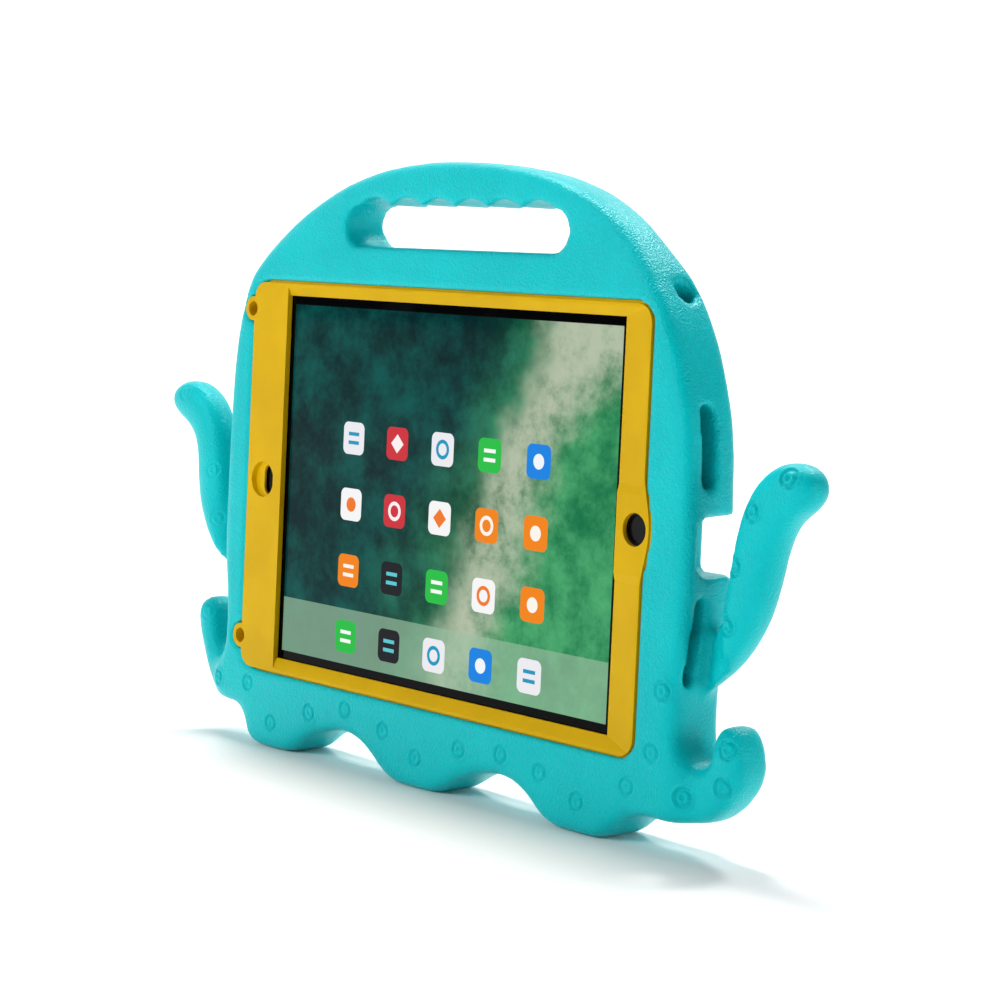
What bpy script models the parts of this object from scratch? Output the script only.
"""Octopus-shaped foam case with a screen frame, holding a 9.7 inch class tablet.

Metres, +Z up. The front faces -Y, the feet stand on Z = 0, and X = 0 is the middle of the case.
"""

import math

import bmesh
import bpy
from mathutils import Vector

MM = 0.001

# The tablet, which the case is drawn around
TABLET_WIDTH = 240.0 * MM
TABLET_HEIGHT = 169.5 * MM
TABLET_THICKNESS = 7.5 * MM
TABLET_CORNER = 10.0 * MM
TABLET_CENTRE_X = 3.0 * MM
TABLET_BOTTOM = 32.25 * MM
SCREEN_BORDER_SIDE = 21.45 * MM
SCREEN_BORDER_END = 10.85 * MM
HOUSING_WALL = 0.9 * MM
GLASS_THICKNESS = 0.8 * MM
DISPLAY_THICKNESS = 1.6 * MM
DISPLAY_MARGIN = 1.2 * MM
HOME_KEY_DIAMETER = 10.6 * MM
HOME_KEY_INSET = 9.0 * MM
HOME_KEY_THICKNESS = 1.4 * MM
HOME_KEY_BELOW_GLASS = 0.1 * MM
HOME_RING_WIDTH = 0.7 * MM
HOME_RING_THICKNESS = 1.8 * MM
FRONT_CAMERA_INSET = 9.5 * MM
FRONT_CAMERA_DIAMETER = 4.4 * MM
REAR_CAMERA_INSET = 13.0 * MM
REAR_LENS_DIAMETER = 7.6 * MM
SIDE_KEY_WIDTH = 2.4 * MM
SIDE_KEY_PROUD = 0.5 * MM
SIDE_KEY_DEPTH = 2.6 * MM
POWER_KEY_LENGTH = 10.0 * MM
POWER_KEY_DROP = 22.0 * MM
VOLUME_KEY_LENGTH = 10.0 * MM
VOLUME_KEYS_INSET = 34.0 * MM
VOLUME_KEYS_APART = 1.6 * MM
CHARGE_SOCKET_SIZE = (8.6 * MM, 3.2 * MM, 7.0 * MM)
CHARGE_SOCKET_WALL = 0.7 * MM
CHARGE_SOCKET_END = 1.2 * MM
HEADPHONE_DIAMETER = 5.2 * MM
HEADPHONE_BORE = 3.6 * MM
HEADPHONE_LENGTH = 12.0 * MM
HEADPHONE_RISE = 31.0 * MM
SOCKET_SETBACK = 0.1 * MM
SPEAKER_SIZE = (9.0 * MM, 3.0 * MM, 34.0 * MM)
SPEAKER_RISE = 41.0 * MM
SPEAKER_CORNER = 1.5 * MM
SPEAKER_HOLE_COUNT = 6
SPEAKER_HOLE_PITCH = 4.0 * MM
SPEAKER_HOLE_DIAMETER = 1.8 * MM
CELL_SIDE_ROOM = 12.0 * MM
CELL_END_ROOM = 18.0 * MM
CELL_SPACING = 2.0 * MM
CELL_CORNER = 2.0 * MM
BOARD_SIZE = (26.0 * MM, 1.0 * MM, 96.0 * MM)
BOARD_INSET = 14.0 * MM
SHIELD_COUNT = 3
SHIELD_LENGTH = 22.0 * MM
SHIELD_PITCH = 30.0 * MM
SHIELD_MARGIN = 3.0 * MM
SHIELD_HEIGHT = 1.6 * MM

# The foam body
BODY_DEPTH = 27.0 * MM
BODY_EDGE = 4.0 * MM
DOME_FRONT_DROP = 1.5 * MM
DOME_BACK_DROP = 4.0 * MM
DOME_RAMP = 24.0 * MM
HOOK_DEPTH = 17.0 * MM
HOOK_OUTWARD = 14.0 * MM
HOOK_RAMP = 16.0 * MM
HOOK_TOP = 66.0 * MM
ARM_DEPTH = 15.0 * MM
ARM_EDGE = 4.5 * MM
GLASS_BELOW_FOAM = 3.0 * MM
HANDLE_HEIGHT = 17.0 * MM
HANDLE_INSET_LEFT = 54.0 * MM
HANDLE_INSET_RIGHT = 52.5 * MM
HANDLE_ABOVE_TABLET = 14.8 * MM
FINGER_COUNT = 6
FINGER_RISE = 1.5 * MM
NOTCH_HEIGHT = 20.8 * MM
NOTCH_DROP = 4.4 * MM
NOTCH_FLARE = 1.6 * MM
NOTCH_CORNER = 5.0 * MM
NOTCH_FRONT_LIP = 6.0 * MM
NOTCH_WALL = 1.0 * MM
SIDE_REACH = 40.0 * MM
UPPER_SLOT_LENGTH = 31.0 * MM
UPPER_SLOT_WIDTH = 7.2 * MM
UPPER_SLOT_RISE = 32.0 * MM
LOWER_SLOT_LENGTH = 33.0 * MM
LOWER_SLOT_WIDTH = 4.6 * MM
LOWER_SLOT_RISE = -39.0 * MM
LOWER_SLOT_FORWARD = 1.3 * MM
SLOT_BEHIND_FRONT = 11.6 * MM
PORT_MARGIN = 1.0 * MM
PLUG_HOLE_DIAMETER = 7.8 * MM
PLUG_HOLE_DEPTH = 25.0 * MM
KEY_ROOM = 0.4 * MM
STRAP_HOLE_DIAMETER = 9.5 * MM
STRAP_HOLE_DEPTH = 16.0 * MM
STRAP_HOLE_BACK = 3.5 * MM
STRAP_HOLE_LEAN = math.radians(44.0)
REAR_HOLE_DIAMETER = 17.0 * MM
REAR_HOLE_FLARE = 4.0 * MM

# The screen frame
FRAME_THICKNESS = 2.5 * MM
FRAME_LEFT_BAR = 23.2 * MM
FRAME_RIGHT_BAR = 14.5 * MM
FRAME_TOP_BAR = 5.1 * MM
FRAME_BOTTOM_BAR = 6.1 * MM
FRAME_CORNER = 7.0 * MM
FRAME_RIM = 1.3 * MM
FRAME_SLOPE_DROP = 1.6 * MM
FRAME_BULGE = 3.3 * MM
FRAME_BULGE_HALF = 20.0 * MM
FLANGE_WIDTH = 1.6 * MM
FLANGE_THICKNESS = 0.9 * MM
WINDOW_MARGIN_X = 2.3 * MM
WINDOW_MARGIN_Z = 3.6 * MM
HOME_HOLE_DIAMETER = 12.4 * MM
CAMERA_DISH_DIAMETER = 15.2 * MM
CAMERA_DISH_OUTWARD = 3.6 * MM
CAMERA_DISH_DEPTH = 1.4 * MM
CAMERA_DISH_LEAN = math.radians(7.0)
CAMERA_HOLE_WIDTH = 6.8 * MM
CAMERA_HOLE_HEIGHT = 12.5 * MM
CAMERA_HOLE_DROP = 2.0 * MM
EAR_DIAMETER = 10.4 * MM
EAR_POST_DIAMETER = 7.8 * MM
EAR_POST_LENGTH = 8.0 * MM
EAR_HOLE_DIAMETER = 6.4 * MM
EAR_HOLE_DEPTH = 6.5 * MM
EAR_RISE = 71.0 * MM
EAR_OUTWARD = 1.2 * MM
EAR_STEP = 0.2 * MM

# Gaps between neighbouring pieces
GAP = 0.3 * MM
FRAME_GAP = 0.5 * MM

# How far a cutter reaches past what it cuts
CUT_PAST = 1.0 * MM

# The outlines below are drawn on a grid, round a tablet of this size. A tablet of another size
# spreads them between the two sides, and between the two heights, that are given here.
GRID = 1.0 * MM
DRAWN_WIDTH = 240.0
DRAWN_HEIGHT = 169.5
DRAWN_SHIFT = 2.0
DRAWN_SIDE = 90.0
DRAWN_LOW = 60.0
DRAWN_HIGH = 125.0

# Outline of the body without its arms, in grid steps, clockwise from the top of the dome
BODY_OUTLINE = [
    (2, 251.5), (38, 249), (64, 243.6), (87, 233.6), (104.4, 219.8), (116.6, 205.2), (126.2, 189.4),
    (132.9, 171.6), (137.2, 154), (138.7, 128), (139, 100), (138, 78), (136.3, 62), (136, 50),
    (136.6, 41.5), (139.4, 36), (143.2, 33.4), (147, 34.2), (149.6, 38.2), (150.4, 43.6), (151.6, 47.8),
    (154.6, 50.8), (158.4, 50.6), (161.6, 47.4), (164, 41.4), (164.6, 33.6), (161, 26), (154.2, 18.9),
    (145, 14.2),
    (133, 12.4), (121, 12.4), (112.6, 9.8), (104.5, 3.4), (97.5, -0.4), (86, -0.8), (75, -0.4),
    (67, 2.6), (58.5, 9), (47.3, 13.4), (32.6, 12.4), (17.8, 6.8), (6, 0.2), (-7, -0.8),
    (-20, -0.2), (-28.5, 3.6), (-37, 9.8), (-48.5, 14.3), (-61, 13.8), (-77, 8.4), (-87, 1.4),
    (-95, -0.7), (-106, -0.7), (-114, 0), (-119.6, 4), (-121.6, 10), (-127, 14.8), (-137, 15.6),
    (-146.5, 17), (-153, 23.5), (-158.5, 34), (-162.5, 44), (-163.8, 51.5), (-160.5, 57.3),
    (-155, 56.6), (-151.6, 50.5), (-149.5, 41), (-146, 36), (-142, 35.2), (-138.3, 38.5),
    (-136.8, 47), (-137.2, 60), (-139.8, 80), (-140.3, 110), (-139.8, 140), (-138.4, 164),
    (-134.9, 183), (-127.5, 202.5), (-110.2, 219.7), (-83.7, 235.4), (-56.5, 245.4), (-28, 250.4),
]

# Outline of each arm, in grid steps, from its root over the tip and back to the root
RIGHT_ARM_OUTLINE = [
    (128, 78), (141, 83), (149, 93), (152.4, 105), (154.2, 118), (159.6, 133.7), (169, 143.9),
    (180.3, 147), (187.6, 143.6), (189.8, 137), (185.6, 130.9), (178.2, 125.3), (173.1, 115.3),
    (170.2, 103.2), (163.4, 85.1), (148, 67), (130, 58),
]
LEFT_ARM_OUTLINE = [
    (-128, 83), (-141, 88), (-149, 98), (-152.4, 110), (-154.2, 123), (-159.6, 138.7),
    (-169, 148.9), (-182.3, 152.8), (-191.4, 149.4), (-193.8, 143.6), (-190, 138.6), (-180, 133.4),
    (-173.4, 126), (-171, 110), (-167.2, 95.2), (-152.5, 75.5), (-130, 63),
]

# Middle of the strap hole's mouth at each shoulder of the dome, in grid steps
STRAP_HOLE_PLACES = [("right", 117.5, 206.0), ("left", -124.0, 206.0)]

# Places worked out from the sizes above
FRONT_Y = -BODY_DEPTH / 2
BACK_Y = BODY_DEPTH / 2
GLASS_Y = FRONT_Y + GLASS_BELOW_FOAM
TABLET_BACK_Y = GLASS_Y + TABLET_THICKNESS
TABLET_LEFT = TABLET_CENTRE_X - TABLET_WIDTH / 2
TABLET_RIGHT = TABLET_CENTRE_X + TABLET_WIDTH / 2
TABLET_TOP = TABLET_BOTTOM + TABLET_HEIGHT
TABLET_CENTRE_Z = TABLET_BOTTOM + TABLET_HEIGHT / 2
TABLET_MIDDLE_Y = GLASS_Y + TABLET_THICKNESS / 2
HOME_X = TABLET_RIGHT - HOME_KEY_INSET
CAMERA_X = TABLET_LEFT + FRONT_CAMERA_INSET
REAR_CAMERA_X = TABLET_LEFT + REAR_CAMERA_INSET
REAR_CAMERA_Z = TABLET_TOP - REAR_CAMERA_INSET
POWER_Z = TABLET_TOP - POWER_KEY_DROP
VOLUME_X = TABLET_LEFT + VOLUME_KEYS_INSET
HEADPHONE_Z = TABLET_BOTTOM + HEADPHONE_RISE
HANDLE_LEFT = TABLET_LEFT + HANDLE_INSET_LEFT
HANDLE_RIGHT = TABLET_RIGHT - HANDLE_INSET_RIGHT
DISPLAY_WIDTH = TABLET_WIDTH - 2 * SCREEN_BORDER_SIDE
DISPLAY_HEIGHT = TABLET_HEIGHT - 2 * SCREEN_BORDER_END
WINDOW_LEFT = TABLET_CENTRE_X - DISPLAY_WIDTH / 2 - WINDOW_MARGIN_X
WINDOW_RIGHT = TABLET_CENTRE_X + DISPLAY_WIDTH / 2 + WINDOW_MARGIN_X
WINDOW_BOTTOM = TABLET_CENTRE_Z - DISPLAY_HEIGHT / 2 - WINDOW_MARGIN_Z
WINDOW_TOP = TABLET_CENTRE_Z + DISPLAY_HEIGHT / 2 + WINDOW_MARGIN_Z
FRAME_LEFT = WINDOW_LEFT - FRAME_LEFT_BAR
FRAME_RIGHT = WINDOW_RIGHT + FRAME_RIGHT_BAR
FRAME_BOTTOM = WINDOW_BOTTOM - FRAME_BOTTOM_BAR
FRAME_TOP = WINDOW_TOP + FRAME_TOP_BAR
FRAME_BACK_Y = GLASS_Y - GAP
FRAME_FRONT_Y = FRAME_BACK_Y - FRAME_THICKNESS
HOUSING_FLOOR_Y = TABLET_BACK_Y - HOUSING_WALL
INSIDES_BACK_Y = HOUSING_FLOOR_Y - GAP
DISPLAY_FRONT_Y = GLASS_Y + GLASS_THICKNESS + GAP
DISPLAY_BACK_Y = DISPLAY_FRONT_Y + DISPLAY_THICKNESS


def clear_scene():
    """Remove every object, so that the script can be run again."""
    for item in list(bpy.data.objects):
        bpy.data.objects.remove(item, do_unlink=True)


def make_collection(name):
    collection = bpy.data.collections.new(name)
    bpy.context.scene.collection.children.link(collection)
    return collection


def plastic(name, colour, roughness, metallic=0.0):
    """A Principled material of one colour."""
    material = bpy.data.materials.new(name)
    material.use_nodes = True
    shader = material.node_tree.nodes["Principled BSDF"]
    shader.inputs["Base Color"].default_value = (*colour, 1.0)
    shader.inputs["Roughness"].default_value = roughness
    shader.inputs["Metallic"].default_value = metallic
    material.diffuse_color = (*colour, 1.0)
    return material


def add_object(name, mesh, collection):
    item = bpy.data.objects.new(name, mesh)
    collection.objects.link(item)
    return item


def add_cutter(name, mesh, cutters):
    item = add_object(name, mesh, cutters)
    item.hide_render = True
    item.display_type = 'WIRE'
    return item


def mesh_from(name, shape):
    """Turn a bmesh into mesh data with its faces pointing out."""
    bmesh.ops.recalc_face_normals(shape, faces=shape.faces)
    mesh = bpy.data.meshes.new(name)
    shape.to_mesh(mesh)
    shape.free()
    return mesh


def box_mesh(name, low, high):
    """A box between two opposite corners."""
    shape = bmesh.new()
    bmesh.ops.create_cube(shape, size=1.0)
    low = Vector(low)
    high = Vector(high)
    size = high - low
    bmesh.ops.scale(shape, vec=size, verts=shape.verts)
    bmesh.ops.translate(shape, vec=(low + high) / 2, verts=shape.verts)
    return mesh_from(name, shape)


def rounded_box_mesh(name, low, high, radius, axis, segments=6):
    """A box whose four edges along one axis are rounded."""
    shape = bmesh.new()
    bmesh.ops.create_cube(shape, size=1.0)
    low = Vector(low)
    high = Vector(high)
    bmesh.ops.scale(shape, vec=high - low, verts=shape.verts)
    bmesh.ops.translate(shape, vec=(low + high) / 2, verts=shape.verts)
    along = [edge for edge in shape.edges if abs((edge.verts[0].co - edge.verts[1].co)[axis]) > 1e-6]
    bmesh.ops.bevel(shape, geom=along, offset=radius, segments=segments, profile=0.5,
                    affect='EDGES', clamp_overlap=True)
    return mesh_from(name, shape)


def rod_mesh(name, centre, direction, radius, length, end_radius=None, segments=40):
    """A rod or cone that starts at a point and runs along a direction."""
    shape = bmesh.new()
    end = radius if end_radius is None else end_radius
    bmesh.ops.create_cone(shape, cap_ends=True, segments=segments, radius1=radius, radius2=end,
                          depth=length)
    bmesh.ops.translate(shape, vec=(0, 0, length / 2), verts=shape.verts)
    turn = Vector((0, 0, 1)).rotation_difference(Vector(direction)).to_matrix()
    bmesh.ops.rotate(shape, cent=(0, 0, 0), matrix=turn, verts=shape.verts)
    bmesh.ops.translate(shape, vec=Vector(centre), verts=shape.verts)
    return mesh_from(name, shape)


def slab_mesh(name, points, depth, edge):
    """A drawn outline made into a slab about Y = 0 with rounded edges."""
    curve = bpy.data.curves.new(name, 'CURVE')
    curve.dimensions = '2D'
    curve.fill_mode = 'BOTH'
    curve.resolution_u = 3
    curve.extrude = depth / 2 - edge
    curve.bevel_depth = edge
    curve.bevel_resolution = 1
    curve.offset = -edge
    spline = curve.splines.new('BEZIER')
    spline.bezier_points.add(len(points) - 1)
    spline.use_cyclic_u = True
    for knot, drawn in zip(spline.bezier_points, points):
        knot.co = (*fitted(*drawn), 0)
        knot.handle_left_type = 'AUTO'
        knot.handle_right_type = 'AUTO'
    holder = bpy.data.objects.new(name, curve)
    bpy.context.scene.collection.objects.link(holder)
    holder.rotation_euler = (math.radians(90), 0, 0)
    bpy.context.view_layer.update()
    graph = bpy.context.evaluated_depsgraph_get()
    mesh = bpy.data.meshes.new_from_object(holder.evaluated_get(graph))
    mesh.transform(holder.matrix_world)
    bpy.data.objects.remove(holder, do_unlink=True)
    shape = bmesh.new()
    shape.from_mesh(mesh)
    bpy.data.meshes.remove(mesh)
    bmesh.ops.remove_doubles(shape, verts=shape.verts, dist=0.00001)
    return mesh_from(name, shape)


def fitted(x, z):
    """A drawn point in metres, moved out with the sides of a tablet of another size."""
    wider = (TABLET_WIDTH - DRAWN_WIDTH * GRID) / 2
    taller = TABLET_HEIGHT - DRAWN_HEIGHT * GRID
    across = max(-1.0, min(1.0, x / DRAWN_SIDE))
    up = max(0.0, min(1.0, (z - DRAWN_LOW) / (DRAWN_HIGH - DRAWN_LOW)))
    return (x + DRAWN_SHIFT) * GRID + across * wider, z * GRID + up * taller


def smooth_step(value):
    value = max(0.0, min(1.0, value))
    return value * value * (3.0 - 2.0 * value)


def slice_mesh(shape, point, normal, low, high):
    """Add a line of edges where a plane crosses the faces that reach in between two heights."""
    faces = []
    for face in shape.faces:
        heights = [vert.co.z for vert in face.verts]
        if max(heights) > low and min(heights) < high:
            faces.append(face)
    edges = {edge for face in faces for edge in face.edges}
    verts = {vert for face in faces for vert in face.verts}
    bmesh.ops.bisect_plane(shape, geom=[*verts, *edges, *faces], dist=0.00001, plane_co=point,
                           plane_no=normal)


def thin_out(mesh):
    """Make the dome and the corner hooks thinner than the middle of the body."""
    hook_start = TABLET_WIDTH / 2 + HOOK_OUTWARD
    shape = bmesh.new()
    shape.from_mesh(mesh)
    steps = 5
    for index in range(steps + 1):
        x = hook_start + HOOK_RAMP * index / steps
        z = TABLET_TOP + DOME_RAMP * index / steps
        slice_mesh(shape, (x, 0, 0), (1, 0, 0), -HOOK_TOP, HOOK_TOP)
        slice_mesh(shape, (-x, 0, 0), (1, 0, 0), -HOOK_TOP, HOOK_TOP)
        slice_mesh(shape, (0, 0, z), (0, 0, 1), TABLET_TOP - CUT_PAST, 2 * TABLET_TOP)
    bmesh.ops.triangulate(shape, faces=shape.faces)
    for vert in shape.verts:
        low = vert.co.z < HOOK_TOP
        hook = smooth_step((abs(vert.co.x) - hook_start) / HOOK_RAMP) if low else 0.0
        dome = smooth_step((vert.co.z - TABLET_TOP) / DOME_RAMP)
        drop = DOME_FRONT_DROP if vert.co.y < 0 else DOME_BACK_DROP
        vert.co.y *= 1.0 - hook * (1.0 - HOOK_DEPTH / BODY_DEPTH)
        vert.co.y *= 1.0 - dome * drop / (BODY_DEPTH / 2)
    shape.to_mesh(mesh)
    shape.free()


def apply_boolean(target, tools, operation):
    """Join or cut with a group of objects at once, and bake the result into the target's mesh."""
    group = bpy.data.collections.new(target.name + "_tools")
    for tool in tools:
        group.objects.link(tool)
    modifier = target.modifiers.new(group.name, 'BOOLEAN')
    modifier.operation = operation
    modifier.solver = 'EXACT'
    modifier.operand_type = 'COLLECTION'
    modifier.collection = group
    bpy.context.view_layer.update()
    graph = bpy.context.evaluated_depsgraph_get()
    mesh = bpy.data.meshes.new_from_object(target.evaluated_get(graph))
    target.modifiers.remove(modifier)
    old = target.data
    target.data = mesh
    bpy.data.meshes.remove(old)


def frame_outline(grow):
    """Points round the screen frame, grown outwards, with its bulge at the home key."""
    left = FRAME_LEFT - grow
    right = FRAME_RIGHT + grow
    bottom = FRAME_BOTTOM - grow
    top = FRAME_TOP + grow
    radius = FRAME_CORNER + grow
    corners = [(right - radius, bottom + radius, 270), (right - radius, top - radius, 0),
               (left + radius, top - radius, 90), (left + radius, bottom + radius, 180)]
    points = []
    for number, (x, z, start) in enumerate(corners):
        for step in range(7):
            angle = math.radians(start + 15 * step)
            points.append((x + radius * math.cos(angle), z + radius * math.sin(angle)))
        if number == 0:
            points.extend(bulge_points(right))
    return points


def bulge_points(right):
    """The right edge's swell round the home key, as one wave of a cosine."""
    points = []
    steps = 14
    for step in range(steps + 1):
        share = -1.0 + 2.0 * step / steps
        swell = FRAME_BULGE * (0.5 + 0.5 * math.cos(math.pi * share)) ** 0.75
        points.append((right + swell, TABLET_CENTRE_Z + share * FRAME_BULGE_HALF))
    return points


def prism_mesh(name, points, front, back):
    """A straight-sided prism of an outline in X and Z between two values of Y."""
    shape = bmesh.new()
    verts = [shape.verts.new((x, front, z)) for x, z in points]
    face = shape.faces.new(verts)
    grown = bmesh.ops.extrude_face_region(shape, geom=[face])
    moved = [item for item in grown["geom"] if isinstance(item, bmesh.types.BMVert)]
    bmesh.ops.translate(shape, vec=(0, back - front, 0), verts=moved)
    return mesh_from(name, shape)


def handle_outline():
    """The grip slot: rounded ends, a flat floor and a row of finger waves above."""
    floor = TABLET_TOP + HANDLE_ABOVE_TABLET
    radius = HANDLE_HEIGHT / 2
    points = []
    for step in range(13):
        angle = math.radians(90 + 15 * step)
        points.append((HANDLE_LEFT + radius + radius * math.cos(angle),
                       floor + radius + radius * math.sin(angle)))
    for step in range(13):
        angle = math.radians(270 + 15 * step)
        points.append((HANDLE_RIGHT - radius + radius * math.cos(angle),
                       floor + radius + radius * math.sin(angle)))
    start = HANDLE_RIGHT - radius
    span = HANDLE_RIGHT - HANDLE_LEFT - 2 * radius
    per_finger = 6
    count = FINGER_COUNT * per_finger
    for step in range(1, count):
        wave = abs(math.sin(math.pi * step / per_finger))
        points.append((start - span * step / count, floor + HANDLE_HEIGHT + FINGER_RISE * wave))
    return points


def side_slot(name, centre_y, centre_z, width, length, cutters):
    """A cutter for a long slot in the right side wall, with round ends."""
    mesh = rounded_box_mesh(name, (TABLET_RIGHT - CUT_PAST, centre_y - width / 2, centre_z - length / 2),
                            (TABLET_RIGHT + SIDE_REACH, centre_y + width / 2, centre_z + length / 2),
                            width * 0.499, 0)
    return add_cutter(name, mesh, cutters)


def notch_cutter(cutters):
    """The charging notch: a bite from the back edge of the right side, with round corners."""
    middle = TABLET_CENTRE_Z - NOTCH_DROP
    front = FRONT_Y + NOTCH_FRONT_LIP
    back = BACK_Y + NOTCH_CORNER + CUT_PAST
    mesh = rounded_box_mesh("notch_cutter", (TABLET_RIGHT + NOTCH_WALL, front, middle - NOTCH_HEIGHT / 2),
                            (TABLET_RIGHT + SIDE_REACH, back, middle + NOTCH_HEIGHT / 2), NOTCH_CORNER, 0)
    for vert in mesh.vertices:
        if vert.co.z > middle:
            vert.co.z += NOTCH_FLARE * (vert.co.y - front) / (back - front)
    return add_cutter("notch_cutter", mesh, cutters)


def port_cutter(cutters):
    """The way from the notch to the tablet's charge socket."""
    width, depth, _ = CHARGE_SOCKET_SIZE
    half_depth = depth / 2 + PORT_MARGIN
    half_width = width / 2 + 2 * PORT_MARGIN
    mesh = box_mesh("port_cutter",
                    (TABLET_RIGHT - CUT_PAST, TABLET_MIDDLE_Y - half_depth, TABLET_CENTRE_Z - half_width),
                    (TABLET_RIGHT + NOTCH_WALL + CUT_PAST, TABLET_MIDDLE_Y + half_depth,
                     TABLET_CENTRE_Z + half_width))
    return add_cutter("port_cutter", mesh, cutters)


def handle_cutter(cutters):
    mesh = prism_mesh("handle_cutter", handle_outline(), -BODY_DEPTH, BODY_DEPTH)
    return add_cutter("handle_cutter", mesh, cutters)


def pocket_cutters(cutters):
    """The front opening, the groove under its lip, and the pocket for the tablet."""
    opening = prism_mesh("opening_cutter", frame_outline(FRAME_GAP), FRONT_Y - CUT_PAST, GLASS_Y)
    lip_back = FRAME_BACK_Y - FLANGE_THICKNESS - GAP
    groove = prism_mesh("groove_cutter", frame_outline(FLANGE_WIDTH + FRAME_GAP), lip_back, GLASS_Y)
    pocket = rounded_box_mesh("pocket_cutter",
                              (TABLET_LEFT - GAP, GLASS_Y - GAP, TABLET_BOTTOM - GAP),
                              (TABLET_RIGHT + GAP, TABLET_BACK_Y + GAP, TABLET_TOP + GAP),
                              TABLET_CORNER + GAP, 1)
    meshes = [opening, groove, pocket]
    return [add_cutter(mesh.name, mesh, cutters) for mesh in meshes]


def key_pockets(cutters):
    """Room in the foam for the tablet's edge keys and the headphone plug."""
    room = SIDE_KEY_PROUD + KEY_ROOM
    low_y = TABLET_MIDDLE_Y - SIDE_KEY_WIDTH
    high_y = TABLET_MIDDLE_Y + SIDE_KEY_WIDTH
    power = box_mesh("power_pocket", (TABLET_LEFT - room, low_y, POWER_Z - POWER_KEY_LENGTH),
                     (TABLET_LEFT + CUT_PAST, high_y, POWER_Z + POWER_KEY_LENGTH))
    half = 1.5 * VOLUME_KEY_LENGTH + VOLUME_KEYS_APART / 2
    volume = box_mesh("volume_pocket", (VOLUME_X - half, low_y, TABLET_TOP - CUT_PAST),
                      (VOLUME_X + half, high_y, TABLET_TOP + room))
    plug = rod_mesh("plug_hole", (TABLET_LEFT + CUT_PAST, TABLET_MIDDLE_Y, HEADPHONE_Z), (-1, 0, 0),
                    PLUG_HOLE_DIAMETER / 2, PLUG_HOLE_DEPTH + CUT_PAST, segments=20)
    return [add_cutter(mesh.name, mesh, cutters) for mesh in (power, volume, plug)]


def strap_cutters(cutters):
    """A round blind hole in the rim at each shoulder of the dome."""
    result = []
    past = 4 * CUT_PAST
    for side, drawn_x, drawn_z in STRAP_HOLE_PLACES:
        x, z = fitted(drawn_x, drawn_z)
        inward = Vector((-math.copysign(math.cos(STRAP_HOLE_LEAN), x), 0.0, -math.sin(STRAP_HOLE_LEAN)))
        start = Vector((x, STRAP_HOLE_BACK, z)) - inward * past
        mesh = rod_mesh("strap_hole_" + side, start, inward, STRAP_HOLE_DIAMETER / 2,
                        STRAP_HOLE_DEPTH + past, segments=28)
        result.append(add_cutter(mesh.name, mesh, cutters))
    return result


def rear_camera_cutter(cutters):
    mesh = rod_mesh("rear_camera_hole", (REAR_CAMERA_X, TABLET_BACK_Y, REAR_CAMERA_Z), (0, 1, 0),
                    REAR_HOLE_DIAMETER / 2, BACK_Y + CUT_PAST - TABLET_BACK_Y,
                    end_radius=REAR_HOLE_DIAMETER / 2 + REAR_HOLE_FLARE)
    return add_cutter(mesh.name, mesh, cutters)


def ear_places():
    """Middle of each ear of the screen frame, in X and Z."""
    rises = (EAR_RISE, -EAR_RISE)
    return [(FRAME_LEFT - EAR_OUTWARD, TABLET_CENTRE_Z + rise) for rise in rises]


def ear_cutters(cutters):
    """Seats in the foam for the ears and their posts."""
    result = []
    for number, (x, z) in enumerate(ear_places()):
        radius = EAR_DIAMETER / 2 + FRAME_GAP
        seat = rounded_box_mesh(f"ear_seat_{number}", (x - radius, FRONT_Y - CUT_PAST, z - radius),
                                (TABLET_LEFT + radius, GLASS_Y + 2 * GAP, z + radius),
                                radius * 0.999, 1, segments=8)
        post = rod_mesh(f"post_seat_{number}", (x, FRAME_BACK_Y, z), (0, 1, 0),
                        EAR_POST_DIAMETER / 2 + GAP,
                        FRAME_FRONT_Y + EAR_POST_LENGTH + GAP - FRAME_BACK_Y, segments=28)
        result.extend(add_cutter(mesh.name, mesh, cutters) for mesh in (seat, post))
    return result


def ground_cutter(cutters):
    """Trims the three feet flat."""
    mesh = box_mesh("ground_cutter", (-TABLET_WIDTH, -BODY_DEPTH, -BODY_DEPTH),
                    (TABLET_WIDTH, BODY_DEPTH, 0))
    return add_cutter(mesh.name, mesh, cutters)


def build_foam_body(parts, cutters):
    material = plastic("teal_foam", (0.0, 0.52, 0.56), 0.62)
    mesh = slab_mesh("foam_body", BODY_OUTLINE, BODY_DEPTH, BODY_EDGE)
    thin_out(mesh)
    body = add_object("foam_body", mesh, parts)
    slot_y = FRONT_Y + SLOT_BEHIND_FRONT
    upper_z = TABLET_CENTRE_Z + UPPER_SLOT_RISE
    lower_z = TABLET_CENTRE_Z + LOWER_SLOT_RISE
    side_tools = [notch_cutter(cutters),
                  side_slot("upper_slot", slot_y, upper_z, UPPER_SLOT_WIDTH, UPPER_SLOT_LENGTH, cutters),
                  side_slot("lower_slot", slot_y - LOWER_SLOT_FORWARD, lower_z, LOWER_SLOT_WIDTH,
                            LOWER_SLOT_LENGTH, cutters)]
    tools = [handle_cutter(cutters), *pocket_cutters(cutters), port_cutter(cutters),
             *key_pockets(cutters), *strap_cutters(cutters), rear_camera_cutter(cutters),
             *ear_cutters(cutters), ground_cutter(cutters)]
    arms = [add_cutter(name, slab_mesh(name, outline, ARM_DEPTH, ARM_EDGE), cutters)
            for name, outline in (("right_arm", RIGHT_ARM_OUTLINE), ("left_arm", LEFT_ARM_OUTLINE))]
    apply_boolean(body, side_tools, 'DIFFERENCE')
    apply_boolean(body, arms, 'UNION')
    apply_boolean(body, tools, 'DIFFERENCE')
    body.data.materials.clear()
    body.data.materials.append(material)
    return body


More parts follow.
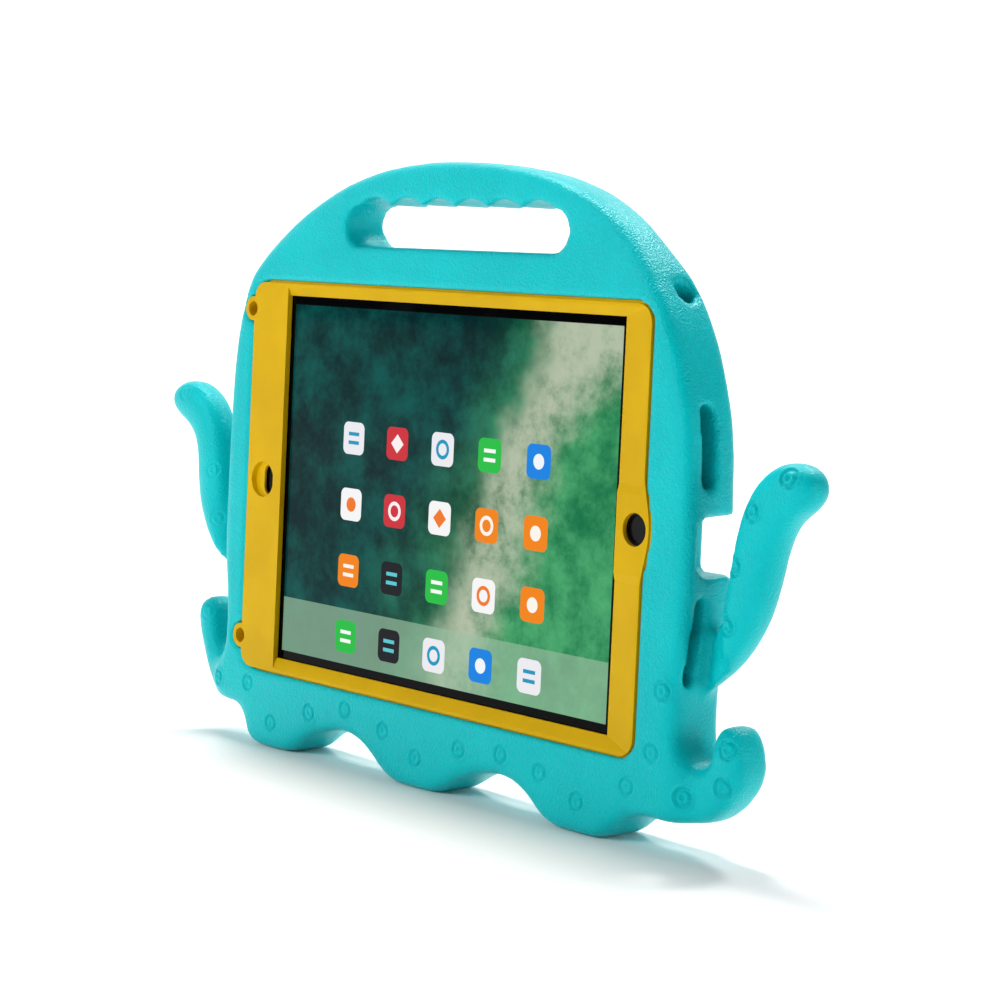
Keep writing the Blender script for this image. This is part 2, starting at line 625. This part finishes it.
def window_cutter(cutters):
    """The window: straight at its left side, sloped towards the screen on the other three."""
    shape = bmesh.new()
    bmesh.ops.create_cube(shape, size=1.0)
    back = FRAME_BACK_Y + CUT_PAST
    slope_back = FRAME_FRONT_Y + FRAME_SLOPE_DROP
    for vert in shape.verts:
        high = vert.co.z > 0
        right = vert.co.x > 0
        front = vert.co.y < 0
        x = WINDOW_RIGHT if right else WINDOW_LEFT
        z = WINDOW_TOP if high else WINDOW_BOTTOM
        if front:
            x = FRAME_RIGHT - FRAME_RIM if right else x
            z = FRAME_TOP - FRAME_RIM if high else FRAME_BOTTOM + FRAME_RIM
        vert.co = (x, FRAME_FRONT_Y if front else slope_back, z)
    slope = mesh_from("slope_cutter", shape)
    hole = box_mesh("window_cutter", (WINDOW_LEFT, FRONT_Y, WINDOW_BOTTOM), (WINDOW_RIGHT, back, WINDOW_TOP))
    return [add_cutter(mesh.name, mesh, cutters) for mesh in (slope, hole)]


def build_screen_frame(parts, cutters):
    material = plastic("yellow_plastic", (0.79, 0.45, 0.0), 0.38)
    mesh = prism_mesh("screen_frame", frame_outline(0.0), FRAME_FRONT_Y,
                      FRAME_BACK_Y - FLANGE_THICKNESS / 2)
    frame = add_object("screen_frame", mesh, parts)
    flange = add_cutter("flange", prism_mesh("flange", frame_outline(FLANGE_WIDTH),
                                             FRAME_BACK_Y - FLANGE_THICKNESS, FRAME_BACK_Y), cutters)
    joined = [flange]
    for number, (x, z) in enumerate(ear_places()):
        ear = rod_mesh(f"ear_{number}", (x, FRAME_FRONT_Y + EAR_STEP, z), (0, 1, 0),
                       EAR_DIAMETER / 2, FRAME_THICKNESS - 2 * EAR_STEP, segments=32)
        post = rod_mesh(f"ear_post_{number}", (x, FRAME_FRONT_Y + EAR_STEP * 2, z), (0, 1, 0),
                        EAR_POST_DIAMETER / 2, EAR_POST_LENGTH - EAR_STEP * 2, segments=28)
        joined.extend(add_cutter(mesh.name, mesh, cutters) for mesh in (ear, post))
    apply_boolean(frame, joined, 'UNION')
    tools = window_cutter(cutters)
    for number, (x, z) in enumerate(ear_places()):
        hole = rod_mesh(f"ear_hole_{number}", (x, FRAME_FRONT_Y - CUT_PAST, z), (0, 1, 0),
                        EAR_HOLE_DIAMETER / 2, EAR_HOLE_DEPTH + CUT_PAST, segments=32)
        tools.append(add_cutter(hole.name, hole, cutters))
    home = rod_mesh("home_hole", (HOME_X, FRONT_Y, TABLET_CENTRE_Z), (0, 1, 0), HOME_HOLE_DIAMETER / 2,
                    BODY_DEPTH / 2, segments=48)
    middle = TABLET_CENTRE_Z - CAMERA_HOLE_DROP
    past = 4 * CUT_PAST
    dish = rod_mesh("camera_dish", (CAMERA_X - CAMERA_DISH_OUTWARD, FRAME_FRONT_Y - past, middle),
                    (math.sin(CAMERA_DISH_LEAN), math.cos(CAMERA_DISH_LEAN), 0),
                    CAMERA_DISH_DIAMETER / 2, CAMERA_DISH_DEPTH + past, segments=40)
    half_width = CAMERA_HOLE_WIDTH / 2
    half_height = CAMERA_HOLE_HEIGHT / 2
    pill = rounded_box_mesh("camera_hole", (CAMERA_X - half_width, FRONT_Y, middle - half_height),
                            (CAMERA_X + half_width, GLASS_Y, middle + half_height),
                            CAMERA_HOLE_WIDTH * 0.499, 1)
    tools.extend(add_cutter(mesh.name, mesh, cutters) for mesh in (home, dish, pill))
    apply_boolean(frame, tools, 'DIFFERENCE')
    frame.data.materials.clear()
    frame.data.materials.append(material)
    return frame


def key_places():
    """Name, middle and outward direction of each edge key."""
    half = (VOLUME_KEY_LENGTH + VOLUME_KEYS_APART) / 2
    return [("power_key", (TABLET_LEFT, POWER_Z), (-1, 0), POWER_KEY_LENGTH),
            ("volume_up_key", (VOLUME_X - half, TABLET_TOP), (0, 1), VOLUME_KEY_LENGTH),
            ("volume_down_key", (VOLUME_X + half, TABLET_TOP), (0, 1), VOLUME_KEY_LENGTH)]


def key_box(middle, outward, length, grow, inner, outer):
    """Corners of a box round an edge key, from a depth inside the edge to a depth outside it."""
    x, z = middle
    half_y = SIDE_KEY_WIDTH / 2 + grow
    along = length / 2 + grow
    if outward[0]:
        xs = sorted((x + outward[0] * outer, x - outward[0] * inner))
        zs = (z - along, z + along)
    else:
        xs = (x - along, x + along)
        zs = sorted((z + outward[1] * outer, z - outward[1] * inner))
    return ((xs[0], TABLET_MIDDLE_Y - half_y, zs[0]), (xs[1], TABLET_MIDDLE_Y + half_y, zs[1]))


def build_housing(parts, cutters):
    material = plastic("silver_aluminium", (0.62, 0.63, 0.65), 0.35, 1.0)
    mesh = rounded_box_mesh("tablet_housing", (TABLET_LEFT, GLASS_Y, TABLET_BOTTOM),
                            (TABLET_RIGHT, TABLET_BACK_Y, TABLET_TOP), TABLET_CORNER, 1)
    housing = add_object("tablet_housing", mesh, parts)
    wall = HOUSING_WALL
    inside = rounded_box_mesh("housing_inside", (TABLET_LEFT + wall, FRONT_Y, TABLET_BOTTOM + wall),
                              (TABLET_RIGHT - wall, HOUSING_FLOOR_Y, TABLET_TOP - wall),
                              TABLET_CORNER - wall, 1)
    tools = [add_cutter(inside.name, inside, cutters)]
    for name, middle, outward, length in key_places():
        low, high = key_box(middle, outward, length, GAP, HOUSING_WALL + CUT_PAST, CUT_PAST)
        tools.append(add_cutter(name + "_hole", box_mesh(name + "_hole", low, high), cutters))
    width, depth, _ = CHARGE_SOCKET_SIZE
    through = wall + 2 * CUT_PAST
    half_depth = depth / 2 + GAP
    half_width = width / 2 + GAP
    port = rounded_box_mesh("socket_hole",
                            (TABLET_RIGHT + CUT_PAST - through, TABLET_MIDDLE_Y - half_depth,
                             TABLET_CENTRE_Z - half_width),
                            (TABLET_RIGHT + CUT_PAST, TABLET_MIDDLE_Y + half_depth,
                             TABLET_CENTRE_Z + half_width), depth * 0.49, 0)
    jack = rod_mesh("jack_hole", (TABLET_LEFT - CUT_PAST, TABLET_MIDDLE_Y, HEADPHONE_Z), (1, 0, 0),
                    HEADPHONE_DIAMETER / 2 + GAP, through, segments=28)
    lens = rod_mesh("lens_hole", (REAR_CAMERA_X, HOUSING_FLOOR_Y - CUT_PAST, REAR_CAMERA_Z), (0, 1, 0),
                    REAR_LENS_DIAMETER / 2 + GAP, through, segments=32)
    tools.extend(add_cutter(mesh.name, mesh, cutters) for mesh in (port, jack, lens))
    for side in (-1, 1):
        for index in range(SPEAKER_HOLE_COUNT):
            along = (index - (SPEAKER_HOLE_COUNT - 1) / 2) * SPEAKER_HOLE_PITCH
            z = TABLET_CENTRE_Z + side * SPEAKER_RISE + along
            hole = rod_mesh(f"speaker_hole_{side}_{index}", (TABLET_RIGHT + CUT_PAST, TABLET_MIDDLE_Y, z),
                            (-1, 0, 0), SPEAKER_HOLE_DIAMETER / 2, through, segments=8)
            tools.append(add_cutter(hole.name, hole, cutters))
    apply_boolean(housing, tools, 'DIFFERENCE')
    housing.data.materials.clear()
    housing.data.materials.append(material)
    return housing


def build_glass(parts, cutters):
    edge = HOUSING_WALL + GAP
    mesh = rounded_box_mesh("cover_glass", (TABLET_LEFT + edge, GLASS_Y, TABLET_BOTTOM + edge),
                            (TABLET_RIGHT - edge, GLASS_Y + GLASS_THICKNESS, TABLET_TOP - edge),
                            TABLET_CORNER - edge, 1)
    glass = add_object("cover_glass", mesh, parts)
    ring = HOME_KEY_DIAMETER / 2 + HOME_RING_WIDTH + 2 * GAP
    hole = rod_mesh("glass_home_hole", (HOME_X, FRONT_Y, TABLET_CENTRE_Z), (0, 1, 0), ring, BODY_DEPTH / 2,
                    segments=48)
    apply_boolean(glass, [add_cutter(hole.name, hole, cutters)], 'DIFFERENCE')
    glass.data.materials.append(plastic("black_glass", (0.01, 0.01, 0.012), 0.06))
    return glass


def build_home_key(parts, cutters):
    """The pressed key, and the fixed metal ring round it."""
    place = (HOME_X, GLASS_Y + HOME_KEY_BELOW_GLASS, TABLET_CENTRE_Z)
    key = add_object("home_key", rod_mesh("home_key", place, (0, 1, 0), HOME_KEY_DIAMETER / 2,
                                          HOME_KEY_THICKNESS, segments=48), parts)
    key.data.materials.append(plastic("black_key", (0.012, 0.012, 0.014), 0.2))
    inner = HOME_KEY_DIAMETER / 2 + GAP
    ring = add_object("home_ring", rod_mesh("home_ring", (HOME_X, GLASS_Y, TABLET_CENTRE_Z), (0, 1, 0),
                                            inner + HOME_RING_WIDTH, HOME_RING_THICKNESS,
                                            segments=48), parts)
    bore = rod_mesh("ring_bore", (HOME_X, FRONT_Y, TABLET_CENTRE_Z), (0, 1, 0), inner, BODY_DEPTH / 2,
                    segments=48)
    apply_boolean(ring, [add_cutter(bore.name, bore, cutters)], 'DIFFERENCE')
    ring.data.materials.append(plastic("key_ring_metal", (0.25, 0.25, 0.27), 0.3, 1.0))


def build_side_keys(parts):
    material = plastic("silver_key", (0.6, 0.61, 0.63), 0.3, 1.0)
    for name, middle, outward, length in key_places():
        low, high = key_box(middle, outward, length, 0.0, SIDE_KEY_DEPTH, SIDE_KEY_PROUD)
        mesh = rounded_box_mesh(name, low, high, SIDE_KEY_WIDTH * 0.45, 0 if outward[0] else 2)
        item = add_object(name, mesh, parts)
        item.data.materials.append(material)


def add_block(name, low, high, material, parts, radius=None):
    mesh = box_mesh(name, low, high) if radius is None else rounded_box_mesh(name, low, high, radius, 1)
    item = add_object(name, mesh, parts)
    item.data.materials.append(material)
    return item


def build_display(parts):
    half_width = DISPLAY_WIDTH / 2 + DISPLAY_MARGIN
    half_height = DISPLAY_HEIGHT / 2 + DISPLAY_MARGIN
    add_block("display_panel",
              (TABLET_CENTRE_X - half_width, DISPLAY_FRONT_Y, TABLET_CENTRE_Z - half_height),
              (TABLET_CENTRE_X + half_width, DISPLAY_BACK_Y, TABLET_CENTRE_Z + half_height),
              plastic("lit_display", (0.02, 0.35, 0.32), 0.2), parts)


def build_board(parts, cutters):
    """The circuit board with its shield cans."""
    width, thick, height = BOARD_SIZE
    left = TABLET_LEFT + HOUSING_WALL + BOARD_INSET
    front = INSIDES_BACK_Y - thick
    board = add_block("logic_board", (left, front, TABLET_CENTRE_Z - height / 2),
                      (left + width, INSIDES_BACK_Y, TABLET_CENTRE_Z + height / 2),
                      plastic("green_board", (0.02, 0.16, 0.07), 0.55), parts)
    shields = []
    for index in range(SHIELD_COUNT):
        z = TABLET_CENTRE_Z + (index - (SHIELD_COUNT - 1) / 2) * SHIELD_PITCH
        can = box_mesh(f"shield_{index}",
                       (left + SHIELD_MARGIN, front - SHIELD_HEIGHT, z - SHIELD_LENGTH / 2),
                       (left + width - SHIELD_MARGIN, front + thick / 2, z + SHIELD_LENGTH / 2))
        shields.append(add_cutter(can.name, can, cutters))
    apply_boolean(board, shields, 'UNION')
    return left + width


def build_speakers(parts, black):
    width, depth, height = SPEAKER_SIZE
    right = TABLET_RIGHT - HOUSING_WALL - GAP
    for name, side in (("speaker_lower", -1), ("speaker_upper", 1)):
        z = TABLET_CENTRE_Z + side * SPEAKER_RISE
        add_block(name, (right - width, INSIDES_BACK_Y - depth, z - height / 2),
                  (right, INSIDES_BACK_Y, z + height / 2), black, parts, SPEAKER_CORNER)
    return right - width


def build_cells(parts, left, right):
    """Two battery cells side by side, in the room between the board and the speakers."""
    wrap = plastic("battery_wrap", (0.05, 0.05, 0.055), 0.45)
    left += CELL_SIDE_ROOM
    right -= CELL_SIDE_ROOM
    middle = (left + right) / 2
    low = TABLET_BOTTOM + CELL_END_ROOM
    high = TABLET_TOP - CELL_END_ROOM
    sides = [("battery_left", left, middle - CELL_SPACING / 2),
             ("battery_right", middle + CELL_SPACING / 2, right)]
    for name, start, end in sides:
        add_block(name, (start, DISPLAY_BACK_Y + GAP, low), (end, INSIDES_BACK_Y, high), wrap, parts,
                  CELL_CORNER)


def build_insides(parts, cutters):
    """What the housing holds: display, cells, board, speakers, sockets and cameras."""
    black = plastic("black_plastic", (0.02, 0.02, 0.022), 0.5)
    build_display(parts)
    board_right = build_board(parts, cutters)
    speakers_left = build_speakers(parts, black)
    build_cells(parts, board_right, speakers_left)
    build_sockets(parts, cutters, black)
    build_cameras(parts, black)


def build_sockets(parts, cutters, black):
    """The charge socket at the right edge and the headphone socket at the left."""
    width, depth, length = CHARGE_SOCKET_SIZE
    wall = CHARGE_SOCKET_WALL
    low = Vector((TABLET_RIGHT - length, TABLET_MIDDLE_Y - depth / 2, TABLET_CENTRE_Z - width / 2))
    high = Vector((TABLET_RIGHT - SOCKET_SETBACK, TABLET_MIDDLE_Y + depth / 2, TABLET_CENTRE_Z + width / 2))
    socket = add_object("charge_socket", rounded_box_mesh("charge_socket", low, high, depth * 0.45, 0), parts)
    mouth = rounded_box_mesh("socket_mouth", low + Vector((CHARGE_SOCKET_END, wall, wall)),
                             high + Vector((CUT_PAST, -wall, -wall)), (depth - 2 * wall) * 0.45, 0)
    apply_boolean(socket, [add_cutter(mouth.name, mouth, cutters)], 'DIFFERENCE')
    socket.data.materials.append(plastic("socket_metal", (0.45, 0.45, 0.46), 0.4, 1.0))
    start = (TABLET_LEFT + SOCKET_SETBACK, TABLET_MIDDLE_Y, HEADPHONE_Z)
    jack = add_object("headphone_socket", rod_mesh("headphone_socket", start, (1, 0, 0),
                                                   HEADPHONE_DIAMETER / 2, HEADPHONE_LENGTH,
                                                   segments=28), parts)
    bore = rod_mesh("jack_bore", (TABLET_LEFT - CUT_PAST, TABLET_MIDDLE_Y, HEADPHONE_Z), (1, 0, 0),
                    HEADPHONE_BORE / 2, HEADPHONE_LENGTH - CUT_PAST, segments=24)
    apply_boolean(jack, [add_cutter(bore.name, bore, cutters)], 'DIFFERENCE')
    jack.data.materials.append(black)


def build_cameras(parts, black):
    """Both camera barrels, and the clear cover of the rear one."""
    front = rod_mesh("front_camera", (CAMERA_X, DISPLAY_FRONT_Y, TABLET_CENTRE_Z), (0, 1, 0),
                     FRONT_CAMERA_DIAMETER / 2, INSIDES_BACK_Y - DISPLAY_FRONT_Y, segments=28)
    add_object("front_camera", front, parts).data.materials.append(black)
    rear_front = DISPLAY_BACK_Y + GAP
    rear = rod_mesh("rear_camera", (REAR_CAMERA_X, rear_front, REAR_CAMERA_Z), (0, 1, 0),
                    REAR_LENS_DIAMETER / 2, INSIDES_BACK_Y - rear_front, segments=32)
    add_object("rear_camera", rear, parts).data.materials.append(black)
    cover = rod_mesh("rear_lens_cover", (REAR_CAMERA_X, HOUSING_FLOOR_Y, REAR_CAMERA_Z), (0, 1, 0),
                     REAR_LENS_DIAMETER / 2, HOUSING_WALL - SOCKET_SETBACK, segments=32)
    glass = plastic("lens_glass", (0.01, 0.012, 0.02), 0.05)
    add_object("rear_lens_cover", cover, parts).data.materials.append(glass)


def main():
    clear_scene()
    parts = make_collection("kids_tablet_case")
    cutters = make_collection("cutters")
    build_foam_body(parts, cutters)
    build_screen_frame(parts, cutters)
    build_housing(parts, cutters)
    build_glass(parts, cutters)
    build_home_key(parts, cutters)
    build_side_keys(parts)
    build_insides(parts, cutters)


main()
